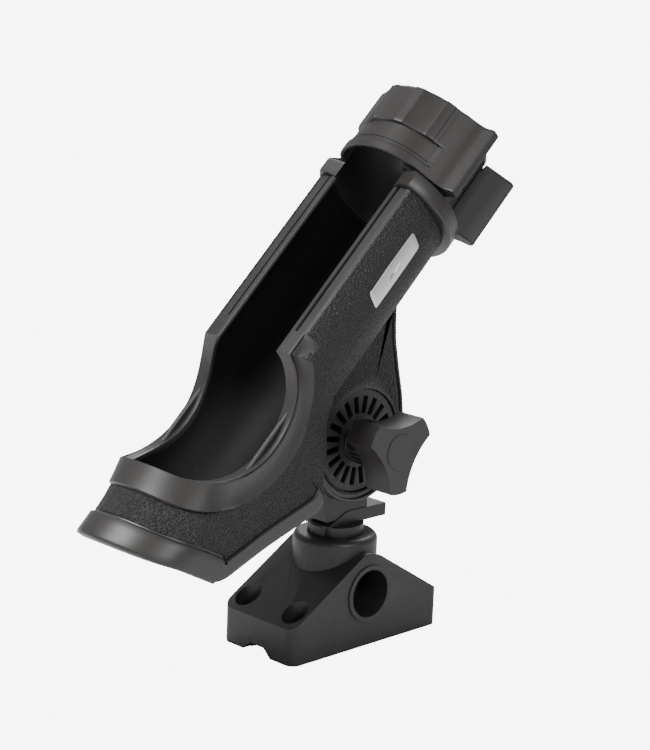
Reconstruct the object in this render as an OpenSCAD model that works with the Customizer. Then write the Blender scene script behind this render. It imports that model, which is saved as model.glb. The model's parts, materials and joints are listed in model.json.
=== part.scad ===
// Clamp-on rod holder: a trough with a turning lock ring, tilting on a post that swivels in a
// deck mount. Millimetres, Z up. The origin is the centre of the mount's bottom face, +X is the
// way the rod points, and -Y is the clamp knob's side.

/* [Deck mount] */
// Length of the mount along X
base_l = 95; // [90:1:118]
// Width of the mount across Y
base_w = 47; // [44:1:58]
// Height of the mount's end walls
base_end_h = 17; // [14:1:22]
// Height of the rounded ridge between the two slopes
ridge_h = 44; // [40:1:47]
// Outer diameter of the socket collar
collar_d = 39.2; // [36:0.2:43]
// Height of the collar's top above the deck
collar_h = 49.4; // [48:0.2:60]
// Height of the side socket's axis above the deck
side_socket_h = 25; // [22:1:28]
// Screw spacing along X
screw_dx = 78; // [68:1:80]
// Screw spacing across Y
screw_dy = 31; // [26:1:32]
// Diameter of the screw holes
screw_d = 5.6; // [4:0.2:7]
// Diameter of the screw head pockets
screw_head_d = 12; // [10:0.5:12.5]

/* [Post] */
// Diameter of the post's shank, a 7/8 inch post
post_d = 22.2; // [18:0.1:24]
// Diameter of the post's neck
neck_d = 26; // [25:0.2:29]
// Height of the tilt pivot above the deck
pivot_h = 95; // [93:1:115]
// Thickness of the tongue between the cradle's ears
tongue_t = 14; // [10:0.5:18]
// Radius of the tongue's toothed eye
eye_r = 22.5; // [18:0.5:24]
// Thickness of the stop wing under the tongue
wing_t = 6; // [4:0.5:7]

/* [Cradle] */
// Resting tilt of the rod above level, degrees
rest_tilt = 44; // [35:1:50]
// Height of the rod's axis above the pivot
axis_h = 60; // [58:1:75]
// Radius of the trough that holds the rod
bore_r = 25; // [21:0.5:26]
// Wall of the smooth liner
liner_t = 2; // [1.6:0.1:2.4]
// Outer radius of the grained shell
shell_r = 32; // [31.5:0.5:38]
// Width of the slot along the top
slot_w = 37; // [30:1:38]
// Distance from the pivot back to the butt end
butt_len = 120; // [110:1:145]
// Distance from the pivot forward to the ring flange
front_len = 87; // [78:1:110]
// Radius of the reel cut-out
reel_r = 38.7; // [34:0.1:39]
// Distance of the reel cut-out's centre behind the pivot
reel_back = 41.5; // [38:0.5:44]
// Outer radius of the ears around the pivot
ear_r = 28.7; // [28:0.1:32]

/* [Lock ring] */
// Length of the ring along the rod
ring_l = 36.7; // [30:0.1:45]
// Wall of the ring outside its bore
ring_t = 2.2; // [1.8:0.1:3]
// Radius of the flange behind the ring
flange_r = 36; // [34.5:0.5:40]
// Thickness of the flange
flange_t = 8.7; // [5:0.1:12]

/* [Clamp] */
// Thread diameter of the pivot bolt
bolt_d = 8; // [6:0.5:10]
// Diameter of the spoked ratchet discs
disc_d = 47.2; // [45:0.2:50]
// Number of slots in each ratchet disc
slot_count = 20; // [12:1:24]
// Radius of the knob to the tips of its lobes
knob_r = 19.6; // [17:0.1:24]
// Depth of the knob's lobes along the bolt
knob_depth = 15; // [12:0.5:19]

/* [Hidden] */
// Clearances
run_gap = 0.08;      // shaft in its hole
fit_gap = 0.3;       // parts seated beside each other
ring_gap = 0.35;     // lock ring around the collar tube
eps = 0.05;

// Deck mount
wall_t = 3.5;
corner_r = 5;
socket_floor = 5;
screw_seat = 9;
slope_run = base_l / 2 - 9;
neck_seat = 5;
drain_w = 18;
drain_h = 4;

// Post
socket_r = post_d / 2 + run_gap;
neck_bore_r = neck_d / 2 + run_gap;
wing_top = collar_h + 4.6 + wing_t;
wing_bottom = wing_top - wing_t;
wing_front = 25.2;
wing_back = 12;
tongue_half_w = 13;
tooth_h = 0.8;
tooth_count = 24;

// Cradle, in its own frame: X along the rod, Z towards the slot, origin at the pivot
liner_r = bore_r + liner_t;
shell_in_r = liner_r + fit_gap;
slot_top = axis_h + sqrt(pow(bore_r, 2) - pow(slot_w / 2, 2));
reel_z = slot_top - 76.8 + 95.7;
rim_w = 8.8;
rim_t = 1.4;
butt_lean = 20;
lip_w = 13;
lip_t = 1.2;
keel_back = butt_len - 20;
keel_z_back = axis_h - 24;
keel_front = 45;
keel_z_front = axis_h - 46;
keel_wall = 3;
keel_rim_h = 9.5;
ear_out = tongue_t / 2 + 7;
ear_rim_t = 0.6;
disc_t = 4.6;
disc_in = tongue_t / 2 + tooth_h + fit_gap;
disc_out = disc_in + disc_t;
ear_in = tongue_t / 2 + 1.4;
seat_y = ear_in + 1.2;
disc_seat_r = disc_d / 2 + fit_gap;
seat_lip_r = disc_d / 2 - 2.2;
badge_x = 37;
badge_l = 36;
badge_h = 8.5;
badge_t = 0.9;
badge_r = 2;

// Lock ring
ring_x = front_len + flange_t + 2.3;
tube_r = bore_r + 2;
tube_end = ring_x + ring_l - 1;
ring_in_r = tube_r + ring_gap;
ring_r = ring_in_r + ring_t;
bead_t = 0.8;
bead_w = 2.6;
mouth_from = 182;    // from the +Y axis, round to the lower wing
mouth_to = 228;
ring_wing_l = 9.5;
ring_wing_t = 4.2;
grip_step = 32;
band_from = 5;
band_to = ring_l * 0.42;
band_depth = 1.2;

// Clamp
slot_in_r = 12.5;
slot_out_r = 20.6;
hub_r = 9.2;
hub_out = disc_out + 0.8;
washer_t = 1.6;
washer_r = 9.5;
knob_back = hub_out + washer_t;
knob_hub_l = 8.8;
knob_face = knob_back + knob_hub_l + knob_depth;
insert_af = 12.7;
insert_l = 12;
cap_r = 8.2;
cap_t = 1.4;
head_af = bolt_d * 1.6;
head_h = bolt_d * 0.65;

smooth = 96;

// Moves a shape from the cradle's own frame to its resting place
module in_cradle() {
    translate([0, 0, pivot_h]) rotate([0, -rest_tilt, 0]) children();
}

// Cylinder along the rod, centred on the rod's axis
module rod_tube(x0, x1, r) {
    translate([x0, 0, axis_h]) rotate([0, 90, 0]) cylinder(r = r, h = x1 - x0, $fn = smooth);
}

// Plate of a side outline, from y0 to y1
module side_plate(y0, y1) {
    translate([0, y1, 0]) rotate([90, 0, 0]) linear_extrude(y1 - y0) children();
}

// Cylinder across the holder, along Y, centred at x and z
module cross_pin(x, z, y0, y1, r) {
    translate([x, y1, z]) rotate([90, 0, 0]) cylinder(r = r, h = y1 - y0, $fn = smooth);
}

module both_sides() {
    children();
    mirror([0, 1, 0]) children();
}

// ---- Deck mount ----

module tent_outline(inset) {
    half = base_l / 2 - inset;
    peak_r = 12;
    rise = ridge_h - base_end_h;
    lean = atan2(rise, slope_run);
    peak_z = ridge_h - peak_r - inset;
    difference() {
        polygon(concat(
            [[-half, inset > 0 ? -1 : 0], [half, inset > 0 ? -1 : 0], [half, base_end_h - inset]],
            [for (a = [90 - lean : -lean / 4 : 90 - 2 * lean + lean])
                [peak_r * cos(a), peak_z + peak_r * sin(a)]],
            [for (a = [90 : lean / 4 : 90 + lean])
                [peak_r * cos(a), peak_z + peak_r * sin(a)]],
            [[-half, base_end_h - inset]]));
    }
}

module base_plan(inset) {
    l = base_l / 2 - inset;
    w = base_w / 2 - inset;
    r = corner_r - inset;
    for (sx = [-1, 1], sy = [-1, 1])
        translate([sx * (l - r), sy * (w - r)]) circle(r = r, $fn = 48);
    square([2 * l, 2 * (w - r)], center = true);
    square([2 * (l - r), 2 * w], center = true);
}

module screw_places() {
    for (sx = [-1, 1], sy = [-1, 1])
        translate([sx * screw_dx / 2, sy * screw_dy / 2, 0]) children();
}

module collar_body() {
    edge_r = 3;
    rotate_extrude($fn = smooth) polygon(concat(
        [[0, 0], [collar_d / 2, 0]],
        [for (a = [0 : 15 : 90])
            [collar_d / 2 - edge_r + edge_r * cos(a), collar_h - edge_r + edge_r * sin(a)]],
        [[0, collar_h]]));
}

module mount_base() {
    pocket_w = wall_t + 0.5;
    color([0.21, 0.20, 0.19]) difference() {
        union() {
            intersection() {
                side_plate(-base_w / 2, base_w / 2) tent_outline(0);
                linear_extrude(ridge_h + 1) base_plan(0);
            }
            collar_body();
            both_sides() cross_pin(0, side_socket_h, -base_w / 2 - 0.8, 0, socket_r + 2.2);
        }
        // underside pockets, around the sockets and the screw bosses
        difference() {
            intersection() {
                side_plate(-base_w / 2, base_w / 2) tent_outline(pocket_w);
                translate([0, 0, -1]) linear_extrude(ridge_h) base_plan(wall_t);
            }
            translate([0, 0, -2]) cylinder(r = collar_d / 2 - 0.5, h = collar_h, $fn = smooth);
            cross_pin(0, side_socket_h, -base_w, base_w, socket_r + 3);
            screw_places() translate([0, 0, -2])
                cylinder(r = screw_head_d / 2 + 2.2, h = ridge_h, $fn = 48);
        }
        translate([0, 0, socket_floor]) cylinder(r = socket_r, h = collar_h, $fn = smooth);
        translate([0, 0, collar_h - neck_seat]) cylinder(r = neck_bore_r, h = collar_h, $fn = smooth);
        cross_pin(0, side_socket_h, -base_w, base_w, socket_r);
        screw_places() {
            translate([0, 0, -1]) cylinder(d = screw_d, h = collar_h, $fn = 48);
            translate([0, 0, screw_seat]) cylinder(d = screw_head_d, h = collar_h, $fn = 48);
        }
        // drain mouths in the two end walls
        for (sx = [-1, 1])
            translate([sx * (base_l / 2 - wall_t / 2), 0, 0]) rotate([90, 0, 90])
                linear_extrude(wall_t + 2, center = true)
                    polygon([[-drain_w / 2, -1], [-drain_w / 2, 0], [-drain_w / 4, drain_h],
                        [drain_w / 4, drain_h], [drain_w / 2, 0], [drain_w / 2, -1]]);
    }
}

// ---- Post ----

module post_stem() {
    chamfer = 1.5;
    rotate_extrude($fn = smooth) polygon([[0, socket_floor + fit_gap],
        [post_d / 2 - chamfer, socket_floor + fit_gap],
        [post_d / 2, socket_floor + fit_gap + chamfer],
        [post_d / 2, collar_h - neck_seat + fit_gap], [neck_d / 2, collar_h - neck_seat + fit_gap],
        [neck_d / 2, wing_bottom + eps], [0, wing_bottom + eps]]);
}

module tooth_ring(y, dir) {
    for (i = [0 : tooth_count - 1])
        translate([0, y, pivot_h]) rotate([0, i * 360 / tooth_count, 0])
            translate([12, dir > 0 ? -eps : -tooth_h, -0.9]) cube([eye_r - 13, tooth_h + eps, 1.8]);
}

module swivel_post() {
    color([0.20, 0.19, 0.18]) difference() {
        union() {
            post_stem();
            side_plate(-tongue_t / 2 - 0.5, tongue_t / 2 + 0.5) polygon([
                [-wing_back, wing_bottom], [wing_front, wing_bottom], [wing_front, wing_top],
                [0, wing_top], [-wing_back, wing_bottom + 0.6]]);
            side_plate(-tongue_t / 2, tongue_t / 2) {
                translate([0, pivot_h]) circle(r = eye_r, $fn = smooth);
                translate([-tongue_half_w, wing_top - 3])
                    square([2 * tongue_half_w, pivot_h - wing_top]);
            }
            tooth_ring(tongue_t / 2, 1);
            tooth_ring(-tongue_t / 2, -1);
        }
        cross_pin(0, pivot_h, -tongue_t, tongue_t, bolt_d / 2 + run_gap);
    }
}

// ---- Cradle ----

// Half plane behind the leaning butt cut, shifted forward by shift
module butt_cut(shift) {
    translate([-butt_len + shift, 0, axis_h + shell_r]) rotate([0, -butt_lean, 0])
        translate([-200, -100, -200]) cube([200, 200, 400]);
}

module keel_outline(inset) {
    lean = atan2(keel_z_back - keel_z_front, keel_back - keel_front);
    drop = inset / cos(lean);
    polygon([[-butt_len - 20, axis_h], [-butt_len - 20, keel_z_back + 8 + drop],
        [-keel_back - 20, keel_z_back + 20 * tan(lean) + drop],
        [-keel_front - inset / 2, keel_z_front + drop], [-keel_front + 6 - inset, keel_z_front + 1.5 + inset],
        [-16 - inset, axis_h - 25 + inset / 2], [0, axis_h - 18 + inset / 2], [6, axis_h]]);
}

// The keel's sloping underside, as the line that everything stays above
module below_keel(up) {
    lean = atan2(keel_z_back - keel_z_front, keel_back - keel_front);
    side_plate(-100, 100) polygon([[-200, -100],
        [-200, keel_z_back + (200 - keel_back) * tan(lean) + up], [-keel_front, keel_z_front + up],
        [-keel_front, -100]]);
}

// Floor under the trough's back end
module butt_floor() {
    lean = atan2(keel_z_back - keel_z_front, keel_back - keel_front);
    z = keel_z_back - 18 * tan(lean);
    far_z = keel_z_back + 60 * tan(lean);
    polygon([[-keel_back + 18, z - 3], [-keel_back + 18, z + keel_wall], [-keel_back - 60, far_z + keel_wall],
        [-keel_back - 60, far_z - 3]]);
}

module keel_rim_outline() {
    lean = atan2(keel_z_back - keel_z_front, keel_back - keel_front);
    up = keel_rim_h / cos(lean);
    polygon([[-keel_back - 20, keel_z_back + 20 * tan(lean)], [-keel_front, keel_z_front],
        [-keel_front + 6, keel_z_front + 1.5], [-keel_front + 8, keel_z_front + up],
        [-keel_front, keel_z_front + up], [-keel_back - 20, keel_z_back + 20 * tan(lean) + up]]);
}

module ear_outline(inset) {
    r = ear_r - inset;
    a = -32;
    dx = cos(a) * inset;
    dz = sin(a) * inset;
    union() {
        circle(r = r, $fn = smooth);
        polygon([[r * cos(a), r * sin(a)], [46 - dx, axis_h - 42 - dz], [58 - inset, axis_h - 29.5],
            [58 - inset, axis_h - 24], [-24, axis_h - 24], [-r * cos(30), r * sin(30)], [0, 0]]);
    }
}

// Space that the reel cut-out and the slot take away
module top_opening(grow) {
    translate([0, -100, 0]) {
        translate([-reel_back, 200, reel_z]) rotate([90, 0, 0])
            cylinder(r = reel_r + grow, h = 200, $fn = 128);
    }
    translate([-reel_back, -slot_w / 2, axis_h]) cube([300, slot_w, 100]);
    translate([-reel_back, -100, slot_top]) cube([front_len + reel_back, 200, 100]);
    translate([front_len - 1, -100, slot_top + 3]) cube([flange_t + 1.02, 200, 100]);
    translate([-reel_back, -100, reel_z]) cube([reel_back + 40, 200, 100]);
}

module collar_tube() {
    rod_tube(front_len - eps, front_len + flange_t, flange_r);
    rod_tube(front_len, tube_end, tube_r);
    rod_tube(tube_end - bead_w, tube_end, tube_r + bead_t);
}

module cradle_shell() {
    color([0.23, 0.22, 0.21]) in_cradle() difference() {
        union() {
            rod_tube(-butt_len - 20, front_len, shell_r);
            side_plate(-shell_r, shell_r) keel_outline(0);
            both_sides() side_plate(-shell_r - 0.8, -shell_r + 1) keel_rim_outline();
            // smooth band around the reel cut-out
            intersection() {
                rod_tube(-butt_len, 10, shell_r + rim_t);
                translate([-reel_back, 100, reel_z]) rotate([90, 0, 0])
                    cylinder(r = reel_r + rim_w, h = 200, $fn = 128);
            }
            // smooth lip at the butt
            difference() {
                union() {
                    rod_tube(-butt_len - 20, 0, shell_r + lip_t);
                    side_plate(-shell_r - lip_t, shell_r + lip_t) intersection() {
                        keel_outline(0);
                        translate([-200, 0]) square([200, axis_h]);
                    }
                }
                butt_band_keep();
            }
            both_sides() {
                side_plate(-ear_out, -ear_in) ear_outline(0);
                side_plate(-ear_out - ear_rim_t, -ear_out + 1) difference() {
                    ear_outline(0);
                    ear_outline(2.4);
                }
            }
            collar_tube();
        }
        butt_cut(0);
        below_keel(0);
        difference() {
            rod_tube(-butt_len - 30, front_len + eps, shell_in_r);
            side_plate(-100, 100) butt_floor();
        }
        rod_tube(front_len, tube_end + 10, bore_r);
        top_opening(3);
        keel_cavity();
        // room for the post's tongue between the ears
        side_plate(-ear_in, ear_in) circle(r = eye_r + 3, $fn = smooth);
        both_sides() {
            cross_pin(0, 0, -ear_out - 5, -seat_y, disc_seat_r);
            cross_pin(0, 0, -ear_out - 5, 0, seat_lip_r);
        }
        badge_pocket();
    }
}

module butt_band_keep() {
    translate([-butt_len + lip_w, 0, axis_h + shell_r]) rotate([0, -butt_lean, 0])
        translate([0, -100, -200]) cube([300, 200, 400]);
}

// Hollow of the keel, open below, under the liner
module keel_cavity() {
    difference() {
        side_plate(-shell_r + keel_wall, shell_r - keel_wall)
            polygon([[-keel_back + 18, -60], [-keel_back + 18, axis_h - 12],
                [-17, axis_h - 12], [-17, -60]]);
        rod_tube(-butt_len - 30, 20, shell_in_r + 1.6);
    }
}

module badge_outline(grow) {
    r = badge_r + grow;
    dx = badge_l / 2 - badge_r;
    dz = badge_h / 2 - badge_r;
    translate([badge_x + badge_l / 2, axis_h - 0.4]) {
        for (sx = [-1, 1], sz = [-1, 1]) translate([sx * dx, sz * dz]) circle(r = r, $fn = 32);
        square([2 * dx + 2 * r, 2 * dz], center = true);
        square([2 * dx, 2 * dz + 2 * r], center = true);
    }
}

module badge_pocket() {
    difference() {
        side_plate(-shell_r - 4, -shell_r + 4) badge_outline(fit_gap);
        rod_tube(0, front_len, shell_r - 1.1);
    }
}

module badge_plate() {
    color([0.75, 0.75, 0.76]) in_cradle() intersection() {
        difference() {
            rod_tube(0, front_len, shell_r - 1.05 + badge_t);
            rod_tube(-1, front_len + 1, shell_r - 1.05);
        }
        side_plate(-shell_r - 2, -shell_r + 4) badge_outline(0);
    }
}

// Smooth inner trough with the flat rim of the reel cut-out
module cradle_liner() {
    color([0.18, 0.17, 0.17]) in_cradle() difference() {
        union() {
            rod_tube(-butt_len - 30, front_len - fit_gap, liner_r);
            intersection() {
                rod_tube(-butt_len + lip_w, 2, shell_r - 0.6);
                translate([-reel_back, 100, reel_z]) rotate([90, 0, 0])
                    cylinder(r = reel_r + 2.7, h = 200, $fn = 128);
            }
        }
        rod_tube(-butt_len - 40, front_len + 1, bore_r);
        butt_cut(-1.2);
        top_opening(0);
        // the butt's floor trims the liner's lowest edge
        below_keel(keel_wall + fit_gap);
    }
}

// ---- Lock ring ----

// Sector of a disc, by angle from the first axis
module pie(from, to, r) {
    steps = 12;
    polygon(concat([[0, 0]], [for (i = [0 : steps])
        [r * cos(from + (to - from) * i / steps), r * sin(from + (to - from) * i / steps)]]));
}

// The ring's end view: first axis across towards +Y, second towards the slot
module grip_outline(r) {
    difference() {
        circle(r = r, $fn = smooth);
        for (i = [0 : 7]) rotate(90 + grip_step - i * grip_step)
            translate([r + 59.05, 0]) circle(r = 60, $fn = 180);
    }
}

// Upper wing, level with the rod's axis, with a hollow curve down to its edge
module upper_wing(r) {
    edge = -r - ring_wing_l;
    a = [-r * cos(30), r * sin(30)];
    b = [-r - 1.2, 5.6];
    c = [edge, ring_wing_t + 0.6];
    polygon(concat([for (t = [0 : 0.1 : 1])
        pow(1 - t, 2) * a + 2 * t * (1 - t) * b + t * t * c],
        [[edge, 0.6], [-r + 1, -1.2], [-r + 2.5, 2]]));
}

// Lower wing, at the other side of the mouth
module lower_wing(r) {
    k = r / 29.5;
    polygon([[-18 * k, -20 * k], [-28.6 * k, -30.9 * k], [-27.2 * k, -34.5 * k],
        [-25.8 * k, -34.2 * k], [-14 * k, -28.2 * k], [-12 * k, -25 * k]]);
    translate([-27.2 * k, -32.5 * k]) circle(r = 2, $fn = 32);
}

module in_ring() {
    translate([ring_x, 0, axis_h]) rotate([90, 0, 90]) children();
}

module lock_ring() {
    color([0.22, 0.21, 0.20]) in_cradle() difference() {
        in_ring() {
            linear_extrude(ring_l) {
                upper_wing(ring_r);
                lower_wing(ring_r);
            }
            cylinder(r = ring_r, h = band_from, $fn = smooth);
            cylinder(r = ring_r - band_depth, h = ring_l - 1, $fn = smooth);
            linear_extrude(band_to + 1) difference() {
                circle(r = ring_r, $fn = smooth);
                pie(90 - 127, 90 + 53, 2 * ring_r);
            }
            translate([0, 0, band_to]) linear_extrude(ring_l - band_to) grip_outline(ring_r);
        }
        rod_tube(ring_x - 1, ring_x + ring_l + 1, ring_in_r);
        rod_tube(tube_end - bead_w - fit_gap, ring_x + ring_l + 1, ring_in_r + bead_t);
        // dark slit beside the grip, and the pocket at the end of the latch finger
        in_ring() translate([0, 0, band_to - 1.2]) linear_extrude(1.2)
            difference() {
                pie(90 - 60, 90 + 53, 2 * ring_r);
                circle(r = ring_in_r + 0.6, $fn = smooth);
            }
        in_ring() translate([0, 0, band_from + 2.7]) linear_extrude(band_to - band_from - 2.7)
            difference() {
                pie(90 + 43, 90 + 53, 2 * ring_r);
                circle(r = ring_in_r + 0.6, $fn = smooth);
            }
        in_ring() translate([0, 0, -1]) linear_extrude(ring_l + 2)
            pie(mouth_from, mouth_to, 2 * ring_r);
    }
}

// ---- Clamp ----

module ratchet_disc() {
    difference() {
        union() {
            cross_pin(0, 0, -disc_out, -seat_y - eps, disc_d / 2);
            cross_pin(0, 0, -disc_out, -disc_in, seat_lip_r - fit_gap);
            cross_pin(0, 0, -hub_out, -disc_in, hub_r);
        }
        for (i = [0 : slot_count - 1]) rotate([0, i * 360 / slot_count, 0])
            translate([slot_in_r, -disc_out - 1, -1.4]) cube([slot_out_r - slot_in_r, disc_t + 2, 2.8]);
        cross_pin(0, 0, -hub_out - 1, 0, bolt_d / 2 + run_gap);
    }
}

module near_ratchet_disc() {
    color([0.24, 0.23, 0.22]) in_cradle() ratchet_disc();
}

module far_ratchet_disc() {
    color([0.24, 0.23, 0.22]) in_cradle() difference() {
        mirror([0, 1, 0]) ratchet_disc();
        translate([0, hub_out - 2, 0]) rotate([-90, 0, 0])
            cylinder(d = (head_af + 0.4) / cos(30), h = 20, $fn = 6);
    }
}

module pivot_bolt() {
    color([0.72, 0.72, 0.74]) in_cradle() {
        translate([0, hub_out - 2, 0]) rotate([-90, 0, 0])
            cylinder(d = head_af / cos(30), h = head_h, $fn = 6);
        cross_pin(0, 0, -knob_face + 3, hub_out - 1, bolt_d / 2);
    }
}

module knob_washer() {
    color([0.70, 0.70, 0.72]) in_cradle() difference() {
        cross_pin(0, 0, -knob_back, -hub_out, washer_r);
        cross_pin(0, 0, -knob_back - 1, 0, bolt_d / 2 + run_gap);
    }
}

// Three lobes: one down and two up, with a scallop between each pair
module knob_outline(r) {
    waist = 0.56 * r;
    tip = r * cos(45);
    h = (2 * tip * tip - waist * waist) / (2 * (tip - waist));
    rotate(-rest_tilt - 90) difference() {
        circle(r = r, $fn = smooth);
        for (a = [60, 180, 300]) rotate(a) translate([h, 0]) circle(r = h - waist, $fn = smooth);
    }
}

module knob_hub() {
    ribs = 28;
    difference() {
        cross_pin(0, 0, -knob_back - knob_hub_l - eps, -knob_back, hub_r + 1.2);
        for (i = [0 : ribs - 1]) rotate([0, i * 360 / ribs, 0])
            translate([hub_r + 0.7, -knob_back - knob_hub_l, -0.4]) cube([2, knob_hub_l - 2, 0.8]);
    }
}

module hex_bar(y0, y1, af) {
    translate([0, y1, 0]) rotate([90, 0, 0]) cylinder(d = af / cos(30), h = y1 - y0, $fn = 6);
}

module clamp_knob() {
    color([0.25, 0.24, 0.23]) in_cradle() difference() {
        union() {
            side_plate(-knob_face, -knob_face + knob_depth) knob_outline(knob_r);
            knob_hub();
        }
        hex_bar(-knob_back - insert_l, 0, insert_af);
        cross_pin(0, 0, -knob_face + 1.8, 0, bolt_d / 2 + 0.5);
        cross_pin(0, 0, -knob_face - 1, -knob_face + cap_t, cap_r + 0.1);
    }
}

module knob_insert() {
    color([0.80, 0.66, 0.36]) in_cradle() difference() {
        hex_bar(-knob_back - insert_l, -knob_back - 0.2, insert_af - 0.02);
        cross_pin(0, 0, -knob_face, 0, bolt_d / 2 + run_gap);
    }
}

module knob_cap() {
    color([0.24, 0.23, 0.22]) in_cradle()
        cross_pin(0, 0, -knob_face - 0.25, -knob_face + cap_t, cap_r);
}

mount_base();
swivel_post();
cradle_shell();
cradle_liner();
lock_ring();
near_ratchet_disc();
far_ratchet_disc();
pivot_bolt();
knob_washer();
clamp_knob();
knob_insert();
knob_cap();
badge_plate();
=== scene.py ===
import json
import math
import bpy
import bmesh
import numpy as np
from mathutils import Vector, Matrix


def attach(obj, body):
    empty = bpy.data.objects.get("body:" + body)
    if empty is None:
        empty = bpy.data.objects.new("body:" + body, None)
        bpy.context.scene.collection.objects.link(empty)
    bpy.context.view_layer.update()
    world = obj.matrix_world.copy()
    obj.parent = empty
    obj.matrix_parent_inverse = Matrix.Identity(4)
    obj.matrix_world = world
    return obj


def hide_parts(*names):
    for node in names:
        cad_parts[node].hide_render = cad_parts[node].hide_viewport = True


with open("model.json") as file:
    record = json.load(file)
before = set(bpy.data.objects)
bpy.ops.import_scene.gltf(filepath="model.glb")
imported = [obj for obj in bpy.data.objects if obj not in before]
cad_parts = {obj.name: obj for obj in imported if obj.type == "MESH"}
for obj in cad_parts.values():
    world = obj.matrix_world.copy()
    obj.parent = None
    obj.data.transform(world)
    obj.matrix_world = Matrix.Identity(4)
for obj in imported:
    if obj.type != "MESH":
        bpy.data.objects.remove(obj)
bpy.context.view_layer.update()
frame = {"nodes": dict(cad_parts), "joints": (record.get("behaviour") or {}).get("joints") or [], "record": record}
joints = {j["name"]: j for j in frame["joints"]}
slots = {m["slot"]: m for m in frame["record"]["materials"]}

# The cradle has its own directions: along the rod, across, and up out of the trough.
pivot = np.array(joints["cradle_tilt"]["pos_m"]) * 1000
along = -np.array(joints["ring_turn"]["axis"], float)
along /= np.linalg.norm(along)
upward = np.array([-along[2], 0, along[0]])
axisHeight = float(np.dot(np.array(joints["ring_turn"]["pos_m"]) * 1000 - pivot, upward))


def fromCradle(u, y, v):
    # Millimetres along, across and up from the tilt pivot, to metres in the frame.
    u, y, v = np.broadcast_arrays(np.asarray(u, float), np.asarray(y, float), np.asarray(v, float))
    p = pivot + u[..., None] * along + v[..., None] * upward
    p[..., 1] += y
    return p / 1000


def smoothStep(x, low, high):
    # 0 below low, 1 above high, and 3t^2 - 2t^3 between them.
    t = np.clip((np.asarray(x, float) - low) / (high - low), 0, 1)
    return t * t * (3 - 2 * t)


def addSocket(group, name, way, kind, value=None, low=None, high=None):
    s = group.interface.new_socket(name=name, in_out=way, socket_type=kind)
    if value is not None:
        s.default_value = value
    if low is not None:
        s.min_value, s.max_value = low, high
    return s


def mouldGrainGroup():
    # Pebbled leather grain: cell distance bent by noise, rounded off, with a finer grit on top.
    g = bpy.data.node_groups.new("mouldGrain", "ShaderNodeTree")
    addSocket(g, "Cells", "INPUT", "NodeSocketFloat", 900.0)
    addSocket(g, "Warp", "INPUT", "NodeSocketFloat", 0.35)
    addSocket(g, "Height", "OUTPUT", "NodeSocketFloat")
    addSocket(g, "Hollow", "OUTPUT", "NodeSocketFloat")
    n, link = g.nodes, g.links
    gin, gout = n.new("NodeGroupInput"), n.new("NodeGroupOutput")
    coord = n.new("ShaderNodeTexCoord")
    bend = n.new("ShaderNodeTexNoise")
    bend.inputs["Scale"].default_value = 700
    bend.inputs["Detail"].default_value = 1
    shift = n.new("ShaderNodeVectorMath")
    shift.operation = "SCALE"
    link.new(coord.outputs["Object"], bend.inputs["Vector"])
    link.new(bend.outputs["Color"], shift.inputs[0])
    amount = n.new("ShaderNodeMath")
    amount.operation = "MULTIPLY"
    amount.inputs[1].default_value = 0.004
    link.new(gin.outputs["Warp"], amount.inputs[0])
    link.new(amount.outputs[0], shift.inputs["Scale"])
    add = n.new("ShaderNodeVectorMath")
    link.new(coord.outputs["Object"], add.inputs[0])
    link.new(shift.outputs[0], add.inputs[1])
    cells = n.new("ShaderNodeTexVoronoi")
    cells.feature = "SMOOTH_F1"
    cells.inputs["Smoothness"].default_value = 0.35
    link.new(add.outputs[0], cells.inputs["Vector"])
    link.new(gin.outputs["Cells"], cells.inputs["Scale"])
    dome = n.new("ShaderNodeMapRange")
    dome.interpolation_type = "SMOOTHSTEP"
    dome.inputs["From Min"].default_value = 0.62
    dome.inputs["From Max"].default_value = 0.12
    link.new(cells.outputs["Distance"], dome.inputs["Value"])
    grit = n.new("ShaderNodeTexNoise")
    grit.inputs["Scale"].default_value = 2600
    grit.inputs["Detail"].default_value = 2
    link.new(coord.outputs["Object"], grit.inputs["Vector"])
    mix = n.new("ShaderNodeMath")
    mix.operation = "MULTIPLY_ADD"
    mix.inputs[1].default_value = 0.25
    link.new(grit.outputs["Fac"], mix.inputs[0])
    link.new(dome.outputs["Result"], mix.inputs[2])
    # Hollow is 1 deep in a cell and 0 on its dome; the grained material uses it to paint shade into the hollows
    inverse = n.new("ShaderNodeMath")
    inverse.operation = "SUBTRACT"
    inverse.inputs[0].default_value = 1
    link.new(dome.outputs["Result"], inverse.inputs[1])
    link.new(mix.outputs[0], gout.inputs["Height"])
    link.new(inverse.outputs[0], gout.inputs["Hollow"])
    return g


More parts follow.
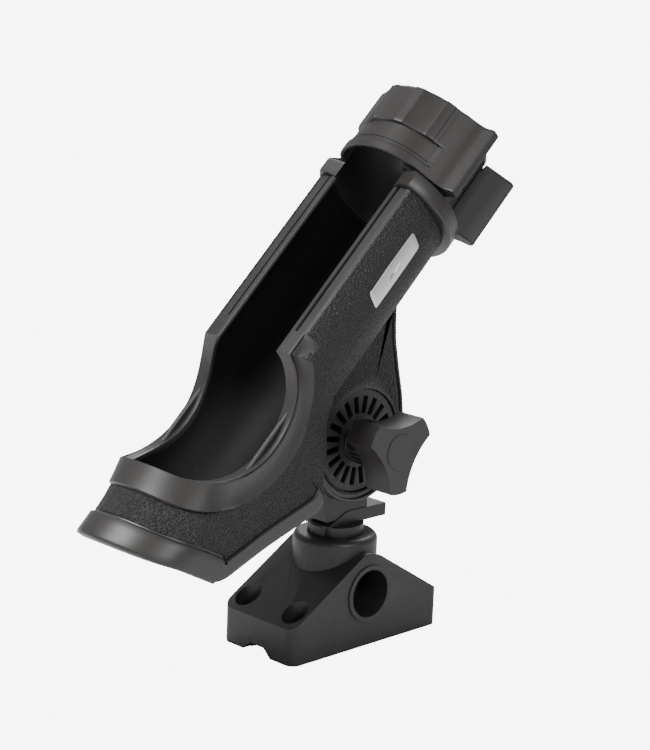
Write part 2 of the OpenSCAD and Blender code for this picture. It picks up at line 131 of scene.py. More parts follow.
def mouldedToneGroup():
    # Slight cloudy change of tone and gloss, with fine pores and pale handling dust.
    g = bpy.data.node_groups.new("mouldedTone", "ShaderNodeTree")
    addSocket(g, "Colour", "INPUT", "NodeSocketColor", (0.04, 0.04, 0.04, 1))
    addSocket(g, "Roughness", "INPUT", "NodeSocketFloat", 0.45, 0, 1)
    addSocket(g, "Cloud", "INPUT", "NodeSocketFloat", 0.12, 0, 1)
    addSocket(g, "Dust", "INPUT", "NodeSocketFloat", 0.04, 0, 1)
    addSocket(g, "Colour", "OUTPUT", "NodeSocketColor")
    addSocket(g, "Roughness", "OUTPUT", "NodeSocketFloat")
    addSocket(g, "Pores", "OUTPUT", "NodeSocketFloat")
    n, link = g.nodes, g.links
    gin, gout = n.new("NodeGroupInput"), n.new("NodeGroupOutput")
    coord = n.new("ShaderNodeTexCoord")
    cloud = n.new("ShaderNodeTexNoise")
    cloud.inputs["Scale"].default_value = 28
    cloud.inputs["Detail"].default_value = 5
    fleck = n.new("ShaderNodeTexNoise")
    fleck.inputs["Scale"].default_value = 900
    fleck.inputs["Detail"].default_value = 3
    pores = n.new("ShaderNodeTexNoise")
    pores.inputs["Scale"].default_value = 3200
    pores.inputs["Detail"].default_value = 2
    for tex in (cloud, fleck, pores):
        link.new(coord.outputs["Object"], tex.inputs["Vector"])
    swing = n.new("ShaderNodeMapRange")
    swing.inputs["From Min"].default_value = 0.3
    swing.inputs["From Max"].default_value = 0.7
    swing.inputs["To Min"].default_value = -1
    swing.inputs["To Max"].default_value = 1
    link.new(cloud.outputs["Fac"], swing.inputs["Value"])
    strength = n.new("ShaderNodeMath")
    strength.operation = "MULTIPLY_ADD"
    strength.inputs[2].default_value = 1
    link.new(swing.outputs["Result"], strength.inputs[0])
    link.new(gin.outputs["Cloud"], strength.inputs[1])
    tone = n.new("ShaderNodeVectorMath")
    tone.operation = "SCALE"
    link.new(gin.outputs["Colour"], tone.inputs[0])
    link.new(strength.outputs[0], tone.inputs["Scale"])
    speck = n.new("ShaderNodeMapRange")
    speck.inputs["From Min"].default_value = 0.62
    speck.inputs["From Max"].default_value = 0.78
    link.new(fleck.outputs["Fac"], speck.inputs["Value"])
    dusty = n.new("ShaderNodeMath")
    dusty.operation = "MULTIPLY"
    link.new(speck.outputs["Result"], dusty.inputs[0])
    link.new(gin.outputs["Dust"], dusty.inputs[1])
    mix = n.new("ShaderNodeMix")
    mix.data_type = "RGBA"
    mix.inputs["B"].default_value = (0.42, 0.40, 0.38, 1)
    link.new(dusty.outputs[0], mix.inputs["Factor"])
    link.new(tone.outputs[0], mix.inputs["A"])
    rough = n.new("ShaderNodeMath")
    rough.operation = "MULTIPLY_ADD"
    rough.inputs[1].default_value = 0.05
    rough.use_clamp = True
    link.new(swing.outputs["Result"], rough.inputs[0])
    link.new(gin.outputs["Roughness"], rough.inputs[2])
    link.new(mix.outputs["Result"], gout.inputs["Colour"])
    link.new(rough.outputs[0], gout.inputs["Roughness"])
    link.new(pores.outputs["Fac"], gout.inputs["Pores"])
    return g


grainGroup = mouldGrainGroup()
toneGroup = mouldedToneGroup()


def baseColour(slotName):
    # The linear colour that the frame gives this finish.
    return (*slots[slotName]["base_color"][:3], 1)


def placeGroup(tree, group, **values):
    node = tree.nodes.new("ShaderNodeGroup")
    node.node_tree = group
    for name, value in values.items():
        node.inputs[name].default_value = value
    return node


def smoothPlastic(name, slotName, roughness, cloud=0.12, dust=0.03, pores=0.10, specular=0.4):
    # Plain moulded plastic, with fine pores as its only relief.
    m = bpy.data.materials.new(name)
    m.use_nodes = True
    tree = m.node_tree
    shader = tree.nodes["Principled BSDF"]
    tone = placeGroup(tree, toneGroup, Colour=baseColour(slotName), Roughness=roughness,
                      Cloud=cloud, Dust=dust)
    bump = tree.nodes.new("ShaderNodeBump")
    bump.inputs["Strength"].default_value = pores
    bump.inputs["Distance"].default_value = 0.00006
    shader.inputs["Specular IOR Level"].default_value = specular
    tree.links.new(tone.outputs["Colour"], shader.inputs["Base Color"])
    tree.links.new(tone.outputs["Roughness"], shader.inputs["Roughness"])
    tree.links.new(tone.outputs["Pores"], bump.inputs["Height"])
    tree.links.new(bump.outputs["Normal"], shader.inputs["Normal"])
    return m


def grainedPlastic(name, slotName):
    # Grained where the mesh's grain attribute is 1, smooth where it is 0. Painted shade darkens the base colour in
    # the grain's hollows.
    look = {"grainedRoughness": 0.62, "smoothRoughness": 0.40, "cells": 900.0, "warp": 0.35,
            "strength": 0.95, "depth": 0.0012, "hollowPaintedShade": (0.0035, 0.0032, 0.0032, 1)}
    m = bpy.data.materials.new(name)
    m.use_nodes = True
    tree = m.node_tree
    link = tree.links
    shader = tree.nodes["Principled BSDF"]
    tone = placeGroup(tree, toneGroup, Colour=baseColour(slotName),
                      Roughness=look["smoothRoughness"], Cloud=0.12, Dust=0.05)
    grain = placeGroup(tree, grainGroup, Cells=look["cells"], Warp=look["warp"])
    mask = tree.nodes.new("ShaderNodeAttribute")
    mask.attribute_name = "grain"
    height = tree.nodes.new("ShaderNodeMath")
    height.operation = "MULTIPLY"
    link.new(grain.outputs["Height"], height.inputs[0])
    link.new(mask.outputs["Fac"], height.inputs[1])
    rough = tree.nodes.new("ShaderNodeMath")
    rough.operation = "MULTIPLY_ADD"
    rough.inputs[1].default_value = look["grainedRoughness"] - look["smoothRoughness"]
    link.new(mask.outputs["Fac"], rough.inputs[0])
    link.new(tone.outputs["Roughness"], rough.inputs[2])
    # painted shade: the base colour is darkened towards a near-black in the grain's hollows, where shade falls
    hollowShadeMix = tree.nodes.new("ShaderNodeMix")
    hollowShadeMix.data_type = "RGBA"
    hollowShadeMix.inputs["B"].default_value = look["hollowPaintedShade"]
    shade = tree.nodes.new("ShaderNodeMath")
    shade.operation = "MULTIPLY"
    link.new(grain.outputs["Hollow"], shade.inputs[0])
    link.new(mask.outputs["Fac"], shade.inputs[1])
    link.new(shade.outputs[0], hollowShadeMix.inputs["Factor"])
    link.new(tone.outputs["Colour"], hollowShadeMix.inputs["A"])
    bump = tree.nodes.new("ShaderNodeBump")
    bump.inputs["Strength"].default_value = look["strength"]
    bump.inputs["Distance"].default_value = look["depth"]
    link.new(height.outputs[0], bump.inputs["Height"])
    link.new(hollowShadeMix.outputs["Result"], shader.inputs["Base Color"])
    link.new(rough.outputs[0], shader.inputs["Roughness"])
    link.new(bump.outputs["Normal"], shader.inputs["Normal"])
    return m


def metal(name, slotName, roughness, scratchScale):
    # Bare metal with fine scratches, which are noise drawn out along Y.
    m = bpy.data.materials.new(name)
    m.use_nodes = True
    tree = m.node_tree
    shader = tree.nodes["Principled BSDF"]
    tone = placeGroup(tree, toneGroup, Colour=baseColour(slotName),
                      Roughness=roughness, Cloud=0.06, Dust=0.02)
    coord = tree.nodes.new("ShaderNodeTexCoord")
    stretch = tree.nodes.new("ShaderNodeMapping")
    stretch.inputs["Scale"].default_value = (1, 14, 1)
    lines = tree.nodes.new("ShaderNodeTexNoise")
    lines.inputs["Scale"].default_value = scratchScale
    lines.inputs["Detail"].default_value = 3
    bump = tree.nodes.new("ShaderNodeBump")
    bump.inputs["Strength"].default_value = 0.15
    bump.inputs["Distance"].default_value = 0.00005
    shader.inputs["Metallic"].default_value = 1
    tree.links.new(coord.outputs["Object"], stretch.inputs["Vector"])
    tree.links.new(stretch.outputs["Vector"], lines.inputs["Vector"])
    tree.links.new(lines.outputs["Fac"], bump.inputs["Height"])
    tree.links.new(tone.outputs["Colour"], shader.inputs["Base Color"])
    tree.links.new(tone.outputs["Roughness"], shader.inputs["Roughness"])
    tree.links.new(bump.outputs["Normal"], shader.inputs["Normal"])
    return m


mountPlastic = smoothPlastic("mountPlastic", "mount_plastic", 0.46)
postPlastic = smoothPlastic("postPlastic", "post_plastic", 0.44)
shellPlastic = grainedPlastic("grainedShellPlastic", "grained_plastic")
linerPlastic = smoothPlastic("linerPlastic", "liner_plastic", 0.6, specular=0.12)
ringPlastic = smoothPlastic("ringPlastic", "ring_plastic", 0.44)
discPlastic = smoothPlastic("discPlastic", "disc_plastic", 0.46)
knobPlastic = smoothPlastic("knobPlastic", "knob_plastic", 0.46)
stainless = metal("stainlessSteel", "stainless", 0.28, 900)
brass = metal("turnedBrass", "insert_brass", 0.3, 900)
badgeMetal = metal("badgeSilver", "badge_metal", 0.32, 700)
print("materials done")


def faceIndices(rows, columns, wrapRows=False, wrapColumns=False):
    # Quads of a rows by columns grid of points: point (i, j) has the index i * columns + j.
    i = np.arange(rows if wrapRows else rows - 1)
    j = np.arange(columns if wrapColumns else columns - 1)
    i, j = (a.ravel() for a in np.meshgrid(i, j, indexing="ij"))
    ii, jj = (i + 1) % rows, (j + 1) % columns
    return np.stack([i * columns + j, i * columns + jj, ii * columns + jj, ii * columns + j], 1)


def capFaces(columns, outer):
    # Closes the end of a section whose first points go out and whose last ones come back inside them:
    # each outer point is joined to the inner point across the wall, as quads, or as triangles where
    # several outer points share an inner one, because the inner points are fewer.
    inner = columns - outer
    j = np.arange(outer)
    across = columns - 1 - np.clip(j - (outer - inner), 0, inner - 1)
    quads = np.stack([j[:-1], across[:-1], across[1:], j[1:]], 1)
    apart = across[:-1] != across[1:]
    return quads[apart], quads[~apart][:, [0, 1, 3]]


def addSurface(name, grids, body, material, wall=0, replaced=(), sharp=40):
    # A piece made of grids. Each grid is a dictionary: points (rows x columns x 3, in metres), and
    # where wanted grain (0 to 1), wrapRows, wrapColumns, flip, and caps (how many columns are outer).
    corners, faces, mask, start = [], [], [], 0
    for grid in grids:
        points, flip = grid["points"], grid.get("flip", False)
        rows, columns = points.shape[:2]
        quads = faceIndices(rows, columns, grid.get("wrapRows"), grid.get("wrapColumns"))
        faces += ((quads[:, ::-1] if flip else quads) + start).tolist()
        if "caps" in grid:
            for row, turned in ((0, not flip), (rows - 1, flip)):
                for cap in capFaces(columns, grid["caps"]):
                    faces += ((cap[:, ::-1] if turned else cap) + start + row * columns).tolist()
        corners.append(points.reshape(-1, 3))
        mask.append(np.broadcast_to(grid.get("grain", 0.0), (rows, columns)).ravel())
        start += rows * columns
    mesh = bpy.data.meshes.new(name)
    mesh.from_pydata(np.concatenate(corners).tolist(), [], faces)
    attribute = mesh.attributes.new("grain", "FLOAT", "POINT")
    attribute.data.foreach_set("value", np.concatenate(mask).astype(np.float32))
    b = bmesh.new()
    b.from_mesh(mesh)
    bmesh.ops.remove_doubles(b, verts=b.verts, dist=0.00001)
    b.to_mesh(mesh)
    b.free()
    mesh.polygons.foreach_set("use_smooth", np.ones(len(mesh.polygons), bool))
    mesh.set_sharp_from_angle(angle=math.radians(sharp))
    mesh.materials.append(material)
    piece = bpy.data.objects.new(name, mesh)
    bpy.context.scene.collection.objects.link(piece)
    if wall:
        solid = piece.modifiers.new("wall", "SOLIDIFY")
        solid.thickness = wall / 1000
        solid.offset = -1
        solid.use_even_offset = False
        solid.use_quality_normals = True
    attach(piece, body)
    if replaced:
        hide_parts(*replaced)
    return piece


# Sizes in millimetres along (u), across (y) and up (v) from the tilt pivot.
trough = {
    "bore": 25.0, "shell": 32.0, "hood": 29.6, "hoodStart": (45, 80), "wall": 2.9, "liningWall": 1.2,
    "railTop": 76.8, "front": 87.0, "cutRadius": 38.7, "cutCentre": (-41.5, 95.7),
    "flare": (8.5, 12.0, 11.5), "flareDepth": 1.3, "grooveDepth": 1.3, "collarProud": 1.1,
    "lipWidth": 13.0, "lipProud": 1.1, "rimWidth": 7.6, "rimProud": 0.9,
    "buttTop": -117.5, "buttTopHeight": 92.0, "buttLean": 0.29,
    "keel": ((-45.0, 14.0), (-100.0, 36.0)), "keelEnd": -95.0, "lipCorner": -91.0,
    "hoodDrop": 8.0, "dropAlong": (58, 100), "dropHeight": (44, 86)}
quarter = math.pi / 2


def openingEdge():
    # Half the trough's opening, from the ring end back to the middle of the hood: a straight rail,
    # then an arc of the round reel cut-out. Gives the inner edge and the outer edge as u, v, y,
    # where y is the half width of a circle about the rod's axis at that height.
    s = trough
    cu, cv = s["cutCentre"]
    turn = math.asin((s["railTop"] - cv) / s["cutRadius"])
    inEnd = -math.pi - math.asin((axisHeight + s["bore"] - cv) / s["cutRadius"])
    outEnd = -math.pi - math.asin((axisHeight + s["hood"] - cv) / s["cutRadius"])
    railU = np.concatenate([np.linspace(s["front"], 10, 34), [7, 5.2, 4.4, 4.0, 3.6, 2.5, 0, -3, -5.5]])
    arcCount = 96
    k = np.linspace(0, 1, arcCount)
    inner = turn + (inEnd - turn) * k
    outer = inner + (outEnd - inEnd) * k ** 4
    u = [np.concatenate([railU, cu + s["cutRadius"] * np.cos(a)]) for a in (inner, outer)]
    railV = np.full(len(railU), s["railTop"])
    v = [np.concatenate([railV, cv + s["cutRadius"] * np.sin(a)]) for a in (inner, outer)]
    radius = shellRadius(u[1])
    y = [np.sqrt(np.maximum(0, s["bore"] ** 2 - (v[0] - axisHeight) ** 2)),
         np.sqrt(np.maximum(0, radius ** 2 - (v[1] - axisHeight) ** 2))]
    y[0][-1] = y[1][-1] = 0
    hood = np.concatenate([np.zeros(len(railU)), smoothStep(k, 0.66, 0.86)])
    rail = (np.concatenate([railU, np.full(arcCount, -9.0)]) > 4.2).astype(float)
    return u, v, y, hood, rail


def shellRadius(u):
    # The shell narrows smoothly from its own radius to the hood's.
    s = trough
    return s["shell"] + (s["hood"] - s["shell"]) * smoothStep(-np.asarray(u), *s["hoodStart"])


def settled(points):
    # The hood stands lower than the open part: its upper half is let down as the butt nears, by a
    # share that grows along the rod times a share that grows with height.
    s = trough
    u, y, v = points[..., 0], points[..., 1], points[..., 2]
    down = s["hoodDrop"] * smoothStep(-u, *s["dropAlong"]) * smoothStep(v, *s["dropHeight"])
    return fromCradle(u, y, v - down)


def onShell(u, w):
    # w is the distance round the section from its top. Round down to the widest point, then, towards
    # the butt, straight down the keel's flat side, and towards the ring, on round underneath.
    r = shellRadius(u)
    below = np.maximum(0, w - r * quarter)
    keel = smoothStep(-u, -5, 30) * (below > 0)
    y = r * np.sin(w / r) * (1 - keel) + (r - 0.02 * below) * keel
    v = axisHeight + r * np.cos(w / r) * (1 - keel) - below * keel
    return y, v


def pathThrough(points, counts):
    # A path through the given points, with counts[i] steps between point i and the next.
    parts = [np.linspace(a, b, n, endpoint=False) for a, b, n in zip(points[:-1], points[1:], counts)]
    return np.concatenate(parts + [np.array(points[-1:], float)])


def underside(u):
    # Height of the keel's straight, sloping lower edge.
    (u0, v0), (u1, v1) = trough["keel"]
    return v0 + (u0 - u) * (v1 - v0) / (u0 - u1)


def rimRows(u, v, y, rail):
    # The flat rim, blended by share from the bore's edge (0) out to the shell's side (1). Each point
    # then sinks square to the rim, by drop and, along the rails, by a narrow slit and a ledge.
    s = trough
    arc = 1 - rail
    share = np.array([-0.02, 0.0, 0.035, 0.10, 0.28, 0.315, 0.40, 0.435, 0.6, 0.8, 0.93, 0.985, 1.0])
    drop = np.array([1.6, 0.5, 0.1, 0, 0, 0, 0, 0, 0, 0, 0, 0.12, 0.5])
    slit = np.array([0, 0, 0, 0, 0, 1, 1, 0, 0, 0, 0, 0, 0])
    ru = u[0][:, None] * (1 - share) + u[1][:, None] * share
    rv = v[0][:, None] * (1 - share) + v[1][:, None] * share
    ry = y[0][:, None] * (1 - share) + y[1][:, None] * share
    # rows between the edges are kept on the round cut
    a = np.arctan2(rv - s["cutCentre"][1], ru - s["cutCentre"][0])
    onCut = (arc * smoothStep(-u[0], 8, 12))[:, None]
    ru = ru * (1 - onCut) + (s["cutCentre"][0] + s["cutRadius"] * np.cos(a)) * onCut
    rv = rv * (1 - onCut) + (s["cutCentre"][1] + s["cutRadius"] * np.sin(a)) * onCut
    facing = (np.arctan2(s["cutCentre"][1] - v[0], s["cutCentre"][0] - u[0]) * onCut[:, 0]
              + quarter * (1 - onCut[:, 0]))[:, None]
    sink = drop[None, :] + slit[None, :] * rail[:, None] * 1.4
    sink = sink + 0.35 * (rail[:, None] * (share > 0.43) * (share < 0.99))
    ru = ru - sink * np.cos(facing)
    rv = rv - sink * np.sin(facing)
    return np.stack([ru, ry, rv], 2)


def outwardFrom(u, w):
    # The direction square to the opening's edge, on the unrolled side, smoothed three times.
    du, dw = np.gradient(u), np.gradient(w)
    du[-1], dw[-1] = 0, -1
    length = np.hypot(du, dw)
    nu, nw = dw / length, -du / length
    for _ in range(3):
        nu[1:-1] = (nu[:-2] + nu[1:-1] * 2 + nu[2:]) / 4
        nw[1:-1] = (nw[:-2] + nw[1:-1] * 2 + nw[2:]) / 4
    nu[:30], nw[:30] = 0, 1
    length = np.hypot(nu, nw)
    return nu / length, nw / length


def flareRows(u, w, hood, rail):
    # The band outside the edge: a thin groove, then a shallow scoop (a half sine across its width),
    # which the hood's raised collar takes the place of.
    s = trough
    arc = 1 - rail
    nu, nw = outwardFrom(u, w)
    narrow, middle, wide = s["flare"]
    width = narrow + (middle - narrow) * smoothStep(-u, 5, 40) + (wide - middle) * hood
    groove = arc * (1 - smoothStep(-u, 55, 64)) * smoothStep(-u, -4, -1)
    scoop = arc * smoothStep(-u, -3, 6) * (1 - hood)
    part = np.array([0.0, 0.012, 0.06, 0.085, 0.12, 0.2, 0.32, 0.45, 0.58, 0.7, 0.8, 0.88, 0.94,
                     0.975, 1.0, 1.045, 1.12])
    far = part * width[:, None]
    cut = ((part > 0.005) & (part < 0.07)).astype(float)
    inside = np.clip((part - 0.085) / 0.915, 0, 1)
    step = smoothStep(part, 0.955, 0.995)
    lift = (-s["grooveDepth"] * cut * groove[:, None]
            - s["flareDepth"] * np.sin(math.pi * inside ** 0.8) * scoop[:, None]
            + s["collarProud"] * (1 - step) * hood[:, None] * (1 - 0.6 * (part < 0.01))
            - 0.35 * ((part > 0.99) & (part < 1.02)) * hood[:, None])
    fu, fw = u[:, None] + far * nu[:, None], w[:, None] + far * nw[:, None]
    fw[-1] = 0
    grain = np.zeros_like(fu)
    grain[:, -2:] = 1
    grain[:, :-2] = rail[:, None] * (part[:-2] > 0.13)
    return fu, fw, lift, grain


def lowerEdge():
    # The side's lower edge as (u, w): under the tube, up the skirt's back edge, along the keel, round
    # a corner and up the leaning butt. Also gives where the corner starts and ends, and sideW, the w
    # of height 0 on the keel's side.
    s = trough
    (ku0, kv0), _ = s["keel"]
    r = s["hood"]
    buttV = np.linspace(45.0, axisHeight, 12)
    buttW = np.concatenate([r * quarter + axisHeight - buttV, np.linspace(r * quarter, 0, 40)[1:]])
    buttHeight = np.where(buttW > r * quarter, axisHeight - (buttW - r * quarter),
                          axisHeight + r * np.cos(np.minimum(buttW / r, quarter)))
    buttU = s["buttTop"] + (s["buttTopHeight"] - buttHeight) * s["buttLean"]
    under = s["shell"] * math.pi
    sideW = s["shell"] * quarter + axisHeight
    path = pathThrough([(4.0, under), (0.5, under - 0.1), (-1.0, 71.0), (-16.0, sideW - 35),
                        (-36.0, sideW - 20.5), (-38.5, sideW - 17.5), (-41.0, sideW - 15),
                        (ku0, sideW - kv0)], [3, 26, 18, 22, 3, 3, 4])
    keelU = np.linspace(ku0, s["keelEnd"], 49)[1:]
    keelW = shellRadius(keelU) * quarter + axisHeight - underside(keelU)
    corner = np.array([[-98.5, keelW[-1] - 2.0], [-101.2, keelW[-1] - 4.8], [-102.8, keelW[-1] - 8.0]])
    path = np.concatenate([path, np.stack([keelU, keelW], 1), corner, np.stack([buttU, buttW], 1)])
    return path, (s["keelEnd"], keelW[-1]), tuple(corner[-1]), sideW


def lowerRows(u, w, rail):
    # The raised lip and rim inside the lower edge. Each row of the opening's edge is given a place on
    # the lower edge, by its own share of the way round, and steps inwards from there.
    s = trough
    (ku0, kv0), (ku1, kv1) = s["keel"]
    path, cornerStart, cornerEnd, sideW = lowerEdge()
    run = np.concatenate([[0], np.cumsum(np.hypot(*np.diff(path, axis=0).T))])
    pathAt = lambda q: np.stack([np.interp(q, run, path[:, k]) for k in (0, 1)], 1)
    near = lambda pu, pw: run[np.argmin(np.hypot(path[:, 0] - pu, path[:, 1] - pw))]
    first = int(np.argmax(rail < 0.5))
    edgeRun = np.concatenate([[0], np.cumsum(np.hypot(np.diff(u[first:]), np.diff(w[first:])))])
    edgeShare = (0, 0.04, 0.16, 0.37, 0.43, 0.70, 0.745, 1)
    place = (0, near(0.5, 100), near(-1, 71), near(-36, sideW - 20.5), near(ku0, sideW - kv0),
             near(*cornerStart), near(*cornerEnd), run[-1])
    reach = np.interp(edgeRun / edgeRun[-1], edgeShare, place)
    for _ in range(6):
        reach[1:-1] = (reach[:-2] + 2 * reach[1:-1] + reach[2:]) / 4
    underTube = np.stack([u[:first], np.full(first, s["shell"] * math.pi)], 1)
    bottom = np.concatenate([underTube, pathAt(reach)])
    between = lambda low, high: np.concatenate([np.zeros(first), smoothStep(reach, low, high)])
    onLip = between(near(*cornerStart) - 2, near(*cornerEnd) + 2)
    onRim = between(near(-38.5, sideW - 17.5), near(-41, sideW - 15))
    onSkirt = between(near(-1, 71) - 6, near(-16, sideW - 35))
    slope = math.atan2(kv1 - kv0, ku0 - ku1)
    rimStep = s["rimWidth"] / math.cos(slope) * 0.93
    inU = onLip * s["lipWidth"] + (1 - onLip) * (
        onRim * s["rimWidth"] * math.sin(slope) - (1 - onRim) * onSkirt)
    inW = -(1 - onLip) * (onRim * rimStep + (1 - onRim) * (1.5 + 1.5 * onSkirt))
    # where lip and rim meet, every row ends at the one inner corner
    cornerU = s["lipCorner"]
    cornerW = shellRadius(cornerU) * quarter + axisHeight - underside(cornerU) - rimStep
    innerU, innerW = bottom[:, 0] + inU, bottom[:, 1] + inW
    atCorner = (onRim > 0.9) * ((innerU < cornerU) * (onLip < 0.5) + (innerW > cornerW) * (onLip >= 0.5)) > 0
    inU = np.where(atCorner * (onLip < 0.5), cornerU - bottom[:, 0], inU)
    inW = np.where(atCorner, cornerW - bottom[:, 1], inW)
    band = np.array([1.0, 0.985, 0.93, 0.88, 0.84, 0.6, 0.35, 0.12, 0.04, 0.0])
    grooveRow = np.array([0, 1, 1, 0.2, 0, 0, 0, 0, 0, 0])
    proudRow = np.array([0, 0, 0, 0.8, 1, 1, 1, 1, 0.75, 0.15])
    bu = bottom[:, 0][:, None] + inU[:, None] * band
    bw = bottom[:, 1][:, None] + inW[:, None] * band
    bw[-1] = 0
    edging = np.maximum(onRim, onLip)
    rimOnly = onRim * (1 - onLip)
    lift = (-s["rimProud"] * grooveRow * (rimOnly + 0.25 * onLip)[:, None]
            + proudRow * (s["rimProud"] * rimOnly + s["lipProud"] * onLip)[:, None])
    grain = np.repeat((1 - edging)[:, None], len(band), 1)
    grain[:, 0] = 1
    return bu, bw, lift, grain


def shellSkin():
    # Half the shell, mirrored: columns run from the bore's edge over the rim, flare, grained side and
    # lower rim, then back inside the wall. Each point is on the side's surface, moved out by lift.
    u, v, y, hood, rail = openingEdge()
    rim = rimRows(u, v, y, rail)
    w = shellRadius(u[1]) * np.arctan2(y[1], v[1] - axisHeight)
    fu, fw, flareLift, flareGrain = flareRows(u[1], w, hood, rail)
    bu, bw, bandLift, bandGrain = lowerRows(u[1], w, rail)
    t = np.linspace(0, 1, 27)[1:-1]
    mu = fu[:, -1:] * (1 - t) + bu[:, :1] * t
    mw = fw[:, -1:] * (1 - t) + bw[:, :1] * t
    surfaceU = np.concatenate([fu, mu, bu], 1)
    surfaceW = np.concatenate([fw, mw, bw], 1)
    lift = np.concatenate([flareLift, np.zeros_like(mu), bandLift], 1)
    sy, sv = onShell(surfaceU, surfaceW)
    base = np.stack([surfaceU, sy, sv], 2)
    centre = np.stack([surfaceU, 0 * sy, np.full_like(sy, axisHeight)], 2)
    radial = base - centre
    radial[..., 2] *= (surfaceW < shellRadius(surfaceU) * quarter)  # straight across on the keel's sides
    radial /= np.maximum(np.linalg.norm(radial, axis=2, keepdims=True), 1e-9)
    inside = (base - radial * trough["wall"])[:, :4:-1]
    base = base + radial * lift[..., None]
    half = np.concatenate([rim, base, inside], 1)
    half[-1, :, 1] = 0
    grain = np.concatenate([0 * rim[..., 0], flareGrain, np.ones_like(mu), bandGrain,
                            0 * inside[..., 0]], 1)
    whole = np.concatenate([half * np.array([1, -1, 1]), half[-2::-1]], 0)
    grain = np.concatenate([grain, grain[-2::-1]], 0)
    return settled(whole), grain, rim.shape[1] + base.shape[1]


def troughLining():
    # The smooth bore: straight steps of u and angle from the opening's edge to a path along the bottom
    # of the trough and up round the butt.
    s = trough
    u, v, y, hood, rail = openingEdge()
    u, height = u[0], v[0] - 1.3
    angle = np.arccos(np.clip((height - axisHeight) / s["bore"], -1, 1))
    angle[-1] = 0
    first = int(np.argmax(rail < 0.5))
    endAngle = np.linspace(math.radians(139.8), 0, 40)
    endHeight = axisHeight + s["bore"] * np.cos(endAngle)
    endU = s["buttTop"] + 1.2 + (s["buttTopHeight"] - endHeight) * s["buttLean"]
    bottomLine = [(4.0, math.pi), (-87.0, math.pi), (-94.0, math.radians(155.6))]
    path = np.concatenate([pathThrough(bottomLine, [40, 6]), np.stack([endU, endAngle], 1)])
    r = s["bore"]
    run = np.concatenate([[0], np.cumsum(np.hypot(np.diff(path[:, 0]), r * np.diff(path[:, 1])))])
    near = lambda pu, pa: run[np.argmin(np.hypot(path[:, 0] - pu, r * (path[:, 1] - pa)))]
    step = np.concatenate([[0], np.cumsum(np.hypot(np.diff(u[first:]), r * np.diff(angle[first:])))])
    place = [0, near(-12, math.pi), near(-60, math.pi), near(-87, math.pi), near(-104, 2.44), run[-1]]
    reach = np.interp(step / step[-1], [0, 0.1, 0.42, 0.62, 0.74, 1], place)
    far = np.concatenate([np.stack([u[:first], np.full(first, math.pi)], 1),
                          np.stack([np.interp(reach, run, path[:, c]) for c in (0, 1)], 1)])
    t = np.linspace(0, 1, 25)
    gu = u[:, None] * (1 - t) + far[:, :1] * t
    ga = angle[:, None] * (1 - t) + far[:, 1:] * t
    ga[-1] = 0
    half = np.stack([gu, r * np.sin(ga), axisHeight + r * np.cos(ga)], 2)
    half[-1, :, 1] = 0
    whole = np.concatenate([half * np.array([1, -1, 1]), half[-2::-1]], 0)
    return settled(whole)


def sweptRound(profile, start, steps, standOut, thin=28):
    # A closed profile of (u, radius) turned about the rod's axis, from an angle that depends on the
    # radius round to its mirror image. Rows go round, columns along the profile. Beyond the thin
    # radius the profile stands out by a share that grows with the angle from the slot.
    t = np.linspace(0, 1, steps)[:, None]
    first = start(profile[:, 1])[None, :]
    angle = first + (2 * math.pi - 2 * first) * t
    r, u = profile[:, 1][None, :], np.broadcast_to(profile[:, 0][None, :], angle.shape)
    fromSlot = np.degrees(np.minimum(angle, 2 * math.pi - angle))
    r = np.where(r > thin, thin + (r - thin) * standOut(fromSlot), r)
    return fromCradle(u, -r * np.sin(angle), axisHeight + r * np.cos(angle))


def flangeAndCollar():
    # The flange, the collar tube the ring turns on, and its end bead, as one profile of (u, radius).
    s = {"bore": 25.0, "tube": 27.0, "groove": 26.4, "bead": 27.9, "flange": 36.0, "slot": 18.5,
         "flangeTop": 20.0, "steps": 181}
    tube, groove, bead, flange = s["tube"], s["groove"], s["bead"], s["flange"]
    outer = np.array([
        (87.2, 31.0), (87.2, 34.6), (87.5, 35.5), (88.3, flange), (91.0, flange), (94.6, flange),
        (95.3, 35.7), (95.7, 35.0), (95.7, 29.0), (96.0, 27.3), (96.6, tube), (114.4, tube),
        (114.6, groove), (115.3, groove), (115.5, tube), (130.6, tube), (131.4, 27.3), (131.8, 27.8),
        (132.4, bead), (133.6, bead), (134.2, 27.5), (134.4, 26.8), (134.4, 25.5)])
    bore = np.stack([outer[::-1, 0] - 0.001 * np.arange(len(outer)), np.full(len(outer), s["bore"])], 1)

    def start(r):
        return np.maximum(np.arcsin(s["slot"] / r),
                          np.arccos(np.clip(s["flangeTop"] / r, -1, 1)) * (r > 27.95))

    def standOut(degrees):
        return 0.2 + 0.5 * smoothStep(degrees, 40, 56) + 0.3 * smoothStep(degrees, 50, 100)
    return sweptRound(np.concatenate([outer, bore]), start, s["steps"], standOut), len(outer)


def troughBack():
    # The underside of the trough where it shows inside the open keel: the lower half of a tube.
    a = np.linspace(math.pi * 0.5, math.pi * 1.5, 61)[:, None]
    u = np.linspace(-86, 2, 24)[None, :]
    r = 28.9
    return fromCradle(u + 0 * a, -r * np.sin(a) + 0 * u, axisHeight + r * np.cos(a) + 0 * u)


def buttFloor():
    # The floor between the keel's sides at the butt: flat across, and 0.3 mm above the keel's edge.
    u = np.linspace(-82, -101.4, 12)[:, None]
    y = np.linspace(-1, 1, 30)[None, :] * (shellRadius(u) - 2.5)
    return fromCradle(u + 0 * y, y, underside(u) + 0.3 + 0 * y)


